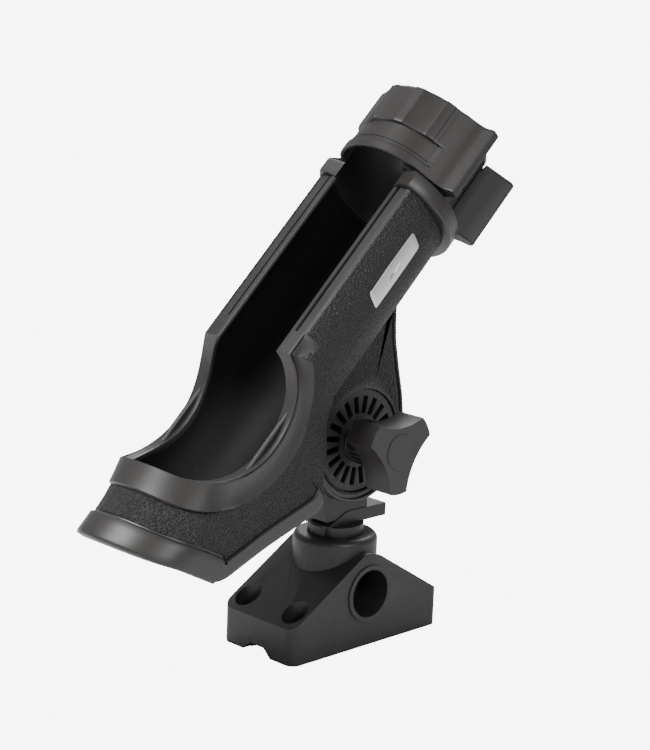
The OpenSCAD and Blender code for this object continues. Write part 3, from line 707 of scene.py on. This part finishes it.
skin, skinGrain, skinOuter = shellSkin()
addSurface("CradleShell", [{"points": skin, "grain": skinGrain, "wrapColumns": True, "flip": True,
                            "caps": skinOuter}],
           "cradle", shellPlastic, replaced=["cradle_shell"], sharp=38)
addSurface("TroughLining", [{"points": troughLining()}], "cradle", linerPlastic,
           wall=trough["liningWall"], replaced=["cradle_liner"])
collar, collarOuter = flangeAndCollar()
addSurface("RingCollar", [{"points": collar, "wrapColumns": True, "caps": collarOuter, "flip": True}],
           "cradle", shellPlastic, sharp=30)
addSurface("TroughBack", [{"points": troughBack(), "flip": True}], "cradle",
           shellPlastic, wall=1.6)
addSurface("ButtFloor", [{"points": buttFloor(), "flip": True}], "cradle",
           shellPlastic, wall=2.6)
print("cradle done")


def earSide(side):
    # One ear, seen square on: outline, border rim, groove, plate, seat for the ratchet disc, and back.
    # Rows run round the pivot, columns follow the section from the outer edge in and round the back:
    # first as steps inward from the outline, then as circles about the pivot.
    s = {"round": 28.7, "face": 14.0, "border": 4.1, "grooveDepth": 1.1, "seat": 24.0, "seatFace": 9.7,
         "hole": 21.5, "back": 8.4, "rows": 240}
    face, border, seat, seatFace, back = (s[k] for k in ("face", "border", "seat", "seatFace", "back"))
    low = np.linspace(math.radians(150), math.radians(330), 60)
    lowPath = np.stack([s["round"] * np.cos(low), s["round"] * np.sin(low)], 1)
    upperPath = np.array([[31.8, -5.0], [38.0, 5.4], [45.4, 17.0], [50.2, 22.8], [57.5, 30.5],
                          [62.0, 35.0], [60.0, 36.4], [40, 36.4], [15, 36.4], [-8, 36.4],
                          [-22, 35.5], [-25.6, 24.0]])
    outline = np.concatenate([lowPath, upperPath, lowPath[:1]])
    run = np.concatenate([[0], np.cumsum(np.hypot(*np.diff(outline, axis=0).T))])
    q = np.linspace(0, run[-1], s["rows"] + 1)[:-1]
    p = np.stack([np.interp(q, run, outline[:, k]) for k in (0, 1)], 1)
    tangent = np.roll(p, -1, 0) - np.roll(p, 1, 0)
    tangent /= np.hypot(*tangent.T)[:, None]
    inward = np.stack([-tangent[:, 1], tangent[:, 0]], 1)
    angle = np.arctan2(p[:, 1], p[:, 0])
    circle = np.stack([np.cos(angle), np.sin(angle)], 1)
    groove = face - s["grooveDepth"]
    columns, depth, grain = [], [], []
    for step, y, g in ((0, face - 0.8, 0), (0.15, face - 0.25, 0), (0.5, face, 0), (1.3, face, 0),
                       (1.55, face - 0.2, 0), (1.8, groove, 0), (3.5, groove, 0),
                       (border - 0.3, face - 0.3, 0), (border, face, 1)):
        columns.append(p + inward * step), depth.append(y), grain.append(g)
    plateEdge = seat + 0.4
    for t in (0.2, 0.4, 0.6, 0.8):
        plate = (p + inward * border) * (1 - t) + circle * plateEdge * t
        columns.append(plate), depth.append(face), grain.append(1)
    for r, y in ((plateEdge, face), (seat + 0.05, face - 0.2), (seat, face - 0.7), (seat, seatFace + 0.1),
                 (seat - 0.4, seatFace), (s["hole"], seatFace), (s["hole"], back)):
        columns.append(circle * r), depth.append(y), grain.append(0)
    for step, y in ((0.4, back), (0, back + 0.4)):
        columns.append(p + inward * step), depth.append(y), grain.append(0)
    uv = np.stack(columns, 1)
    y = np.broadcast_to(np.array(depth, float) * side, uv.shape[:2])
    return {"points": fromCradle(uv[..., 0], y, uv[..., 1]), "grain": np.array(grain, float),
            "wrapRows": True, "wrapColumns": True, "flip": side < 0}


addSurface("CradleEars", [earSide(-1), earSide(1)], "cradle", shellPlastic, sharp=30)


def badgeFace():
    # A rounded badge bent round the shell, leaning a little: rows from its middle out and over the
    # edge. The outline is a long circle clipped to a box, with the corners' radius added back.
    s = {"middle": 55.0, "turn": math.radians(90.6), "halfLong": 18.0, "halfWide": 4.3, "round": 1.8,
         "lean": 0.22, "radius": 32.0, "wall": 0.3}
    a = np.linspace(0, 2 * math.pi, 121)[:-1]
    boxU, boxW = s["halfLong"] - s["round"], s["halfWide"] - s["round"]
    outlineU = np.clip(np.cos(a) * 30, -boxU, boxU) + s["round"] * np.cos(a)
    outlineW = np.clip(np.sin(a) * 30 * 0.24, -boxW, boxW) + s["round"] * np.sin(a)
    share = np.array([0.02, 0.3, 0.6, 0.8, 0.9, 0.93, 0.95, 0.975, 1.0, 1.0])[None, :]
    rise = np.array([0.42, 0.42, 0.42, 0.42, 0.42, 0.40, 0.28, 0.30, 0.18, -0.5])[None, :]
    w = outlineW[:, None] * share
    u = s["middle"] + outlineU[:, None] * share - s["lean"] * w
    r = s["radius"] + rise + 0 * w
    turn = s["turn"] + w / s["radius"]
    return fromCradle(u, -r * np.sin(turn), axisHeight + r * np.cos(turn))


addSurface("BadgePlate", [{"points": badgeFace(), "wrapRows": True, "flip": True}], "cradle",
           badgeMetal, wall=0.3, replaced=["badge_plate"], sharp=30)
print("ears and badge done")


def lockRing():
    # The ring's end section is one closed path: over wing one, round the grip, out along wing two and
    # back round the bore. Rows step along the rod and set the radius of bead, band, slit and grip.
    # A facet is hollowed by its depth times (1 - x^2)^0.8 across its half width.
    s = {"bore": 27.4, "boreEnd": 28.35, "bead": 29.5, "band": 28.3, "slit": 27.9, "grip": 29.9,
         "facet": 1.15, "facetStep": 32.0, "facetHalf": 12.0, "facetsEnd": 150, "beadEnd": 102.6,
         "slitAlong": (112.62, 113.95), "slitTurn": (-56, 53), "pocketAlong": (105.5, 113.95),
         "pocketTurn": (43, 53), "ridgeAlong": (104.7, 105.3), "gripStart": (114.0, 114.3)}
    # wing one, from the mouth out to its flat end and up to the ring, then wing two back to the mouth
    wing1 = np.array([(-28.4, -1.0), (-33, -0.35), (-37.9, 0.3), (-38.7, 0.7), (-39.0, 1.6),
                      (-39.0, 3.9), (-38.6, 4.7), (-37.7, 5.1), (-34.6, 5.9), (-31.9, 7.2),
                      (-29.9, 9.3), (-28.3, 11.4), (-26.9, 13.3)])
    wing2 = np.array([(-8.6, -29.1), (-12.5, -30.1), (-17.5, -31.6), (-22.5, -33.3), (-26.2, -34.7),
                      (-27.9, -34.7), (-29.2, -33.7), (-29.4, -32.2), (-28.6, -30.9), (-25.2, -27.4),
                      (-21.8, -23.8), (-19.2, -20.9)])
    arc = np.linspace(-60, 190, 501)
    a = np.radians(arc)
    around = np.stack([s["band"] * np.sin(a), s["band"] * np.cos(a)], 1)
    outline = np.concatenate([wing1, around, wing2])
    turn = np.degrees(np.arctan2(outline[:, 0], outline[:, 1]))
    turn = np.where((np.arange(len(turn)) > len(wing1)) & (turn < -100), turn + 360, turn)
    boreTurn = np.radians(np.maximum.accumulate(np.clip(turn, -92, 222))[::-1])
    u = np.array([98.0, 98.15, 98.5, 99.2, 100.4, 101.6, 102.3, 102.7, 102.95, 103.2, 104.6, 104.8,
                  105.2, 105.4, 106.0, 108, 110, 111.8, 112.4, 112.6, 112.65, 113.9, 114.0, 114.25,
                  114.7, 116, 119, 123, 127, 130.7, 130.8, 133, 134.2, 134.7, 134.95, 135.0])
    # both ends are rounded by pulling the section in
    pull = np.where(u < 98.6, np.interp(u, [98, 98.15, 98.5], [0.9, 0.4, 0]),
                    np.interp(u, [134.2, 134.7, 134.95, 135.0], [0, 0.25, 0.7, 1.0]))
    phi = (arc + s["facetStep"] / 2) % s["facetStep"] - s["facetStep"] / 2
    hollow = np.maximum(0, 1 - (phi / s["facetHalf"]) ** 2)
    dent = np.where(np.abs(phi) < s["facetHalf"], s["facet"] * hollow ** 0.8, 0)
    dent = dent * (arc < s["facetsEnd"]) * smoothStep(arc, -60, -50)

    def patch(alongRange, turnRange):
        inU = (u > alongRange[0]) & (u < alongRange[1])
        return inU[:, None] & ((arc > turnRange[0]) & (arc < turnRange[1]))[None, :]

    inGrip = smoothStep(u, *s["gripStart"])[:, None]
    ridge = (u > s["ridgeAlong"][0]) & (u < s["ridgeAlong"][1])
    beadR = s["bead"] - 1.2 * smoothStep(u, s["beadEnd"] - 0.4, 103.2) + 0.35 * ridge
    bandR = np.where((arc > s["slitTurn"][1])[None, :], s["bead"] - 0.4, beadR[:, None])
    ringR = bandR * (1 - inGrip) + (s["grip"] - dent[None, :]) * inGrip
    cut = patch(s["slitAlong"], s["slitTurn"]) | patch(s["pocketAlong"], s["pocketTurn"])
    ringR = np.where(cut, s["slit"], ringR) - pull[:, None]
    boreR = np.where(u < 131, s["bore"], s["boreEnd"])[:, None] + 0.25 * (pull[:, None] > 0.3)

    def easedWing(points):
        # moved towards the wing's own middle at the ring's two ends
        direction = points.mean(0) - points
        direction = direction / np.maximum(np.hypot(*direction.T), 1e-6)[:, None]
        return points[None] + direction[None] * pull[:, None, None] * 0.7
    w1, w2 = easedWing(wing1), easedWing(wing2)
    y = np.concatenate([w1[..., 0], ringR * np.sin(a), w2[..., 0], boreR * np.sin(boreTurn)], 1)
    v = np.concatenate([w1[..., 1], ringR * np.cos(a), w2[..., 1], boreR * np.cos(boreTurn)], 1)
    return fromCradle(u[:, None] + 0 * y, y, axisHeight + v), len(outline)


ring, outerCount = lockRing()
addSurface("LockRing", [{"points": ring, "wrapColumns": True, "caps": outerCount, "flip": True}],
           "ring", ringPlastic, replaced=["lock_ring"], sharp=26)
print("lock ring done")


def softened(node, body, material, radius, angle=32, segments=3):
    # The node's own surface, merged, with flat faces joined and every sharp edge rounded off.
    source = frame["nodes"][node]
    mesh = source.data.copy()
    mesh.name = node + "Soft"
    b = bmesh.new()
    b.from_mesh(mesh)
    bmesh.ops.remove_doubles(b, verts=b.verts, dist=0.000004)
    bmesh.ops.dissolve_limit(b, angle_limit=math.radians(1.2), verts=b.verts, edges=b.edges)
    b.to_mesh(mesh)
    b.free()
    piece = bpy.data.objects.new("".join(w.title() for w in node.split("_")), mesh)
    bpy.context.scene.collection.objects.link(piece)
    bevel = piece.modifiers.new("roundedEdges", "BEVEL")
    bevel.width = radius / 1000
    bevel.segments = segments
    bevel.limit_method = "ANGLE"
    bevel.angle_limit = math.radians(angle)
    bevel.miter_outer = "MITER_ARC"
    bevel.use_clamp_overlap = True
    mesh.polygons.foreach_set("use_smooth", np.ones(len(mesh.polygons), bool))
    mesh.set_sharp_from_angle(angle=math.radians(35))
    mesh.materials.clear()
    mesh.materials.append(material)
    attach(piece, body)
    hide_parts(node)
    return piece


softened("mount_base", "deck_mount", mountPlastic, 0.9)
softened("swivel_post", "post", postPlastic, 0.5)
softened("near_ratchet_disc", "cradle", discPlastic, 0.25, segments=2)
softened("far_ratchet_disc", "cradle", discPlastic, 0.25, segments=2)
softened("clamp_knob", "knob", knobPlastic, 0.9)
for node, material in (("pivot_bolt", stainless), ("knob_washer", stainless), ("knob_insert", brass),
                       ("knob_cap", knobPlastic)):
    o = frame["nodes"][node]
    o.data.materials.clear()
    o.data.materials.append(material)
print("pieces done")


studio = {"backdropGlow": 7.6, "fill": 0.5, "floorSteps": 9, "floorHalfWidth": 40,
          "target": (0, 0, 0.12)}


def paleFloor():
    # One wide flat sheet at height 0, so that it runs out of every level view.
    steps, halfWidth = studio["floorSteps"], studio["floorHalfWidth"]
    edge = np.linspace(-halfWidth, halfWidth, steps)
    x, y = np.meshgrid(edge, edge, indexing="ij")
    p = np.stack([x, y, 0 * x], 2)
    faces = faceIndices(steps, steps)[:, ::-1].tolist()
    mesh = bpy.data.meshes.new("paleFloor")
    mesh.from_pydata(p.reshape(-1, 3).tolist(), [], faces)
    mesh.polygons.foreach_set("use_smooth", np.ones(len(mesh.polygons), bool))
    floor = bpy.data.objects.new("paleFloor", mesh)
    bpy.context.scene.collection.objects.link(floor)
    m = bpy.data.materials.new("palePaper")
    m.use_nodes = True
    tree = m.node_tree
    shader = tree.nodes["Principled BSDF"]
    shader.inputs["Base Color"].default_value = (0.8, 0.8, 0.8, 1)
    shader.inputs["Roughness"].default_value = 0.9
    shader.inputs["Specular IOR Level"].default_value = 0.1
    # the sheet looks backlit from the front, but throws little light up at the holder
    path = tree.nodes.new("ShaderNodeLightPath")
    light = tree.nodes.new("ShaderNodeEmission")
    light.inputs["Strength"].default_value = studio["backdropGlow"]
    both = tree.nodes.new("ShaderNodeMixShader")
    tree.links.new(path.outputs["Is Camera Ray"], both.inputs["Fac"])
    tree.links.new(shader.outputs["BSDF"], both.inputs[1])
    tree.links.new(light.outputs["Emission"], both.inputs[2])
    tree.links.new(both.outputs["Shader"], tree.nodes["Material Output"].inputs["Surface"])
    mesh.materials.append(m)


def softLight(name, place, width, height, power):
    # A rectangular lamp at place, turned to face the middle of the holder.
    light = bpy.data.lights.new(name, "AREA")
    light.shape = "RECTANGLE"
    light.size, light.size_y = width, height
    light.energy = power
    o = bpy.data.objects.new(name, light)
    bpy.context.scene.collection.objects.link(o)
    o.location = place
    o.rotation_euler = (Vector(studio["target"]) - Vector(place)).to_track_quat("-Z", "Y").to_euler()


def viewCamera():
    # Looks at the holder from its knob side and behind the butt, a little above level.
    view = {"azimuth": -44.65, "elevation": 12.86, "roll": 2.19, "distance": 0.90914,
            "aim": (-0.00493, 0.00567, 0.12248), "lens": 96.0}
    a, e, r = (math.radians(view[k]) for k in ("azimuth", "elevation", "roll"))
    back = Vector((math.sin(a) * math.cos(e), -math.cos(a) * math.cos(e), math.sin(e)))
    right = Vector((math.cos(a), math.sin(a), 0))
    up = back.cross(right)
    x = math.cos(r) * right + math.sin(r) * up
    y = -math.sin(r) * right + math.cos(r) * up
    data = bpy.data.cameras.new("studioCamera")
    data.lens = view["lens"]
    data.sensor_width = 36
    data.sensor_fit = "AUTO"
    data.clip_start = 0.05
    camera = bpy.data.objects.new("studioCamera", data)
    bpy.context.scene.collection.objects.link(camera)
    place = Vector(view["aim"]) + back * view["distance"]
    camera.matrix_world = Matrix((
        (x.x, y.x, back.x, place.x), (x.y, y.y, back.y, place.y), (x.z, y.z, back.z, place.z),
        (0, 0, 0, 1)))
    bpy.context.scene.camera = camera


paleFloor()
softLight("keyLight", (-0.75, 0.15, 0.95), 0.5, 0.5, 20)
softLight("frontLight", (-0.2, -1.1, 0.75), 0.45, 0.45, 7)
softLight("backLight", (0.7, 0.5, 0.8), 0.8, 0.6, 8)
world = bpy.data.worlds.new("studioWorld")
bpy.context.scene.world = world
world.use_nodes = True
sky = world.node_tree
sky.nodes["Background"].inputs["Color"].default_value = (1, 1, 1, 1)
seen = sky.nodes.new("ShaderNodeLightPath")
level = sky.nodes.new("ShaderNodeMapRange")
level.inputs["To Min"].default_value = studio["fill"]  # what lights the holder
level.inputs["To Max"].default_value = studio["backdropGlow"]  # what the lens sees behind it
sky.links.new(seen.outputs["Is Camera Ray"], level.inputs["Value"])
sky.links.new(level.outputs["Result"], sky.nodes["Background"].inputs["Strength"])
viewCamera()
print("floor, lights and camera done")
